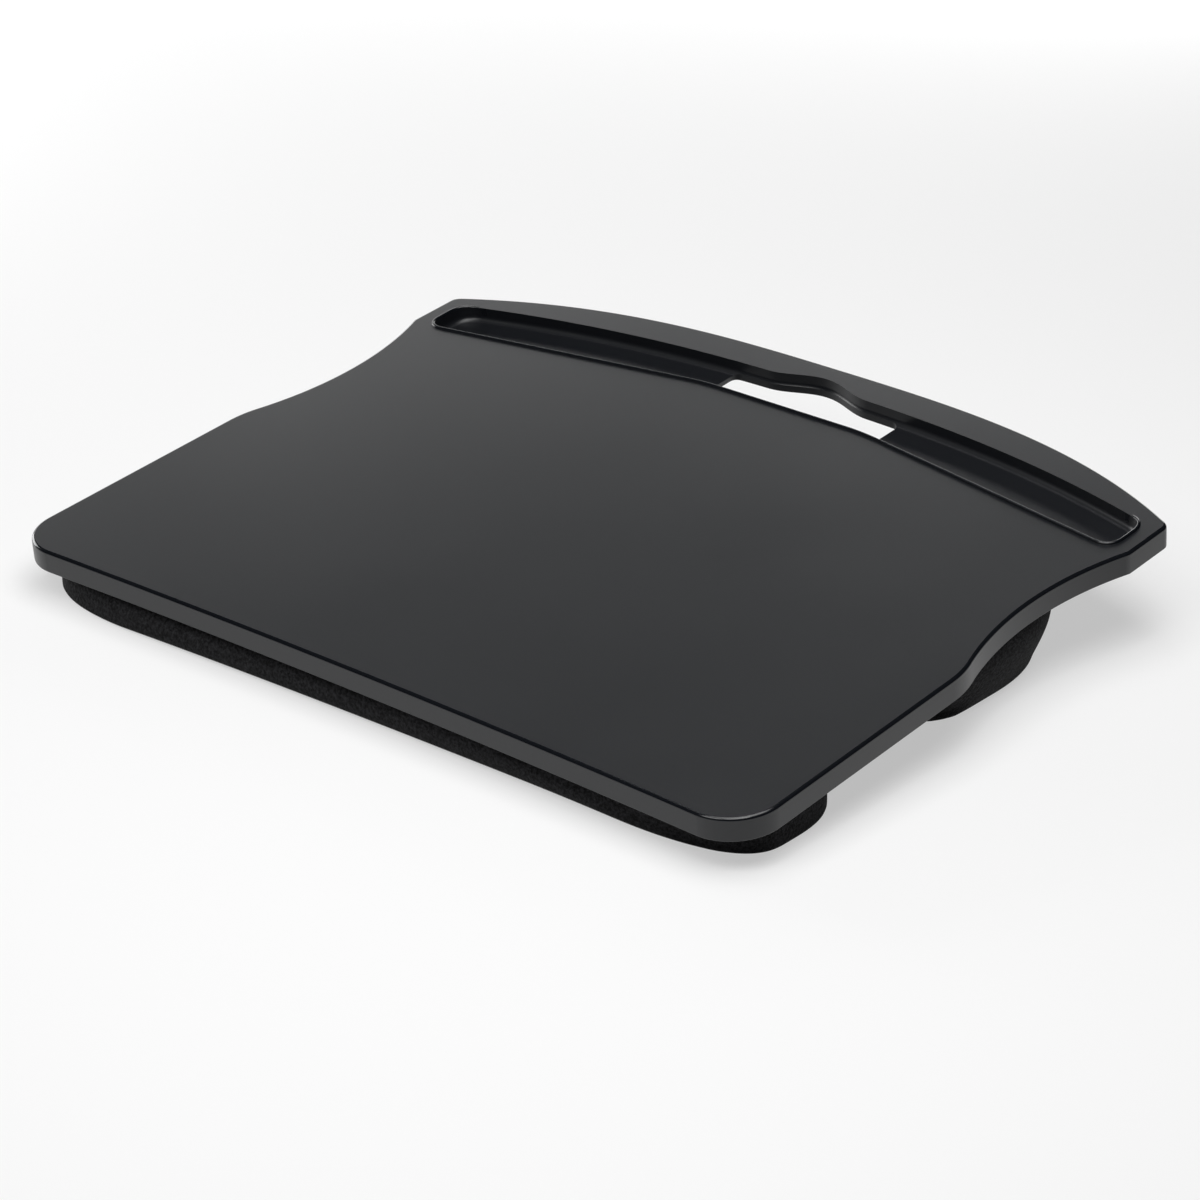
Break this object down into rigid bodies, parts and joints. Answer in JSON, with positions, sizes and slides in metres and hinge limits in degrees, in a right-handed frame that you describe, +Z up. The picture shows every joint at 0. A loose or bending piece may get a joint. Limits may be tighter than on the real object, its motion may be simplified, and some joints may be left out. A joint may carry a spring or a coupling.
{
  "type": "laptop tray",
  "caption": "Lap tray with a sloping moulded deck, a pen trough with a hand hole behind the work surface, and two filled fabric cushions underneath.",
  "frame": {"origin": "on the floor under the middle of the deck, seen from above", "axes": "+Z up from the floor, +X to the user's right along the long side, +Y away from the user towards the pen trough"},
  "size_m": [0.431, 0.3468, 0.0579],
  "materials": {
    "moulded_plastic": "black moulded plastic with a fine satin grain",
    "stretch_fabric": "black stretch knit with a fine even grain",
    "hardboard": "plain brown pressed board",
    "bead_filling": "white foam beads",
    "zinc_steel": "zinc plated steel"
  },
  "bodies": {
    "root": {"deck": "moulded_plastic", "front_cushion_cover": "stretch_fabric", "rear_cushion_cover": "stretch_fabric", "front_backing_board": "hardboard", "rear_backing_board": "hardboard", "front_cushion_filling": "bead_filling", "rear_cushion_filling": "bead_filling", "front_board_screw_1": "zinc_steel", "front_board_screw_2": "zinc_steel", "front_board_screw_3": "zinc_steel", "front_board_screw_4": "zinc_steel", "front_board_screw_5": "zinc_steel", "front_board_screw_6": "zinc_steel", "front_board_screw_7": "zinc_steel", "front_board_screw_8": "zinc_steel", "rear_board_screw_1": "zinc_steel", "rear_board_screw_2": "zinc_steel", "rear_board_screw_3": "zinc_steel", "rear_board_screw_4": "zinc_steel", "rear_board_screw_5": "zinc_steel", "rear_board_screw_6": "zinc_steel", "rear_board_screw_7": "zinc_steel", "rear_board_screw_8": "zinc_steel"}
  },
  "joints": []
}
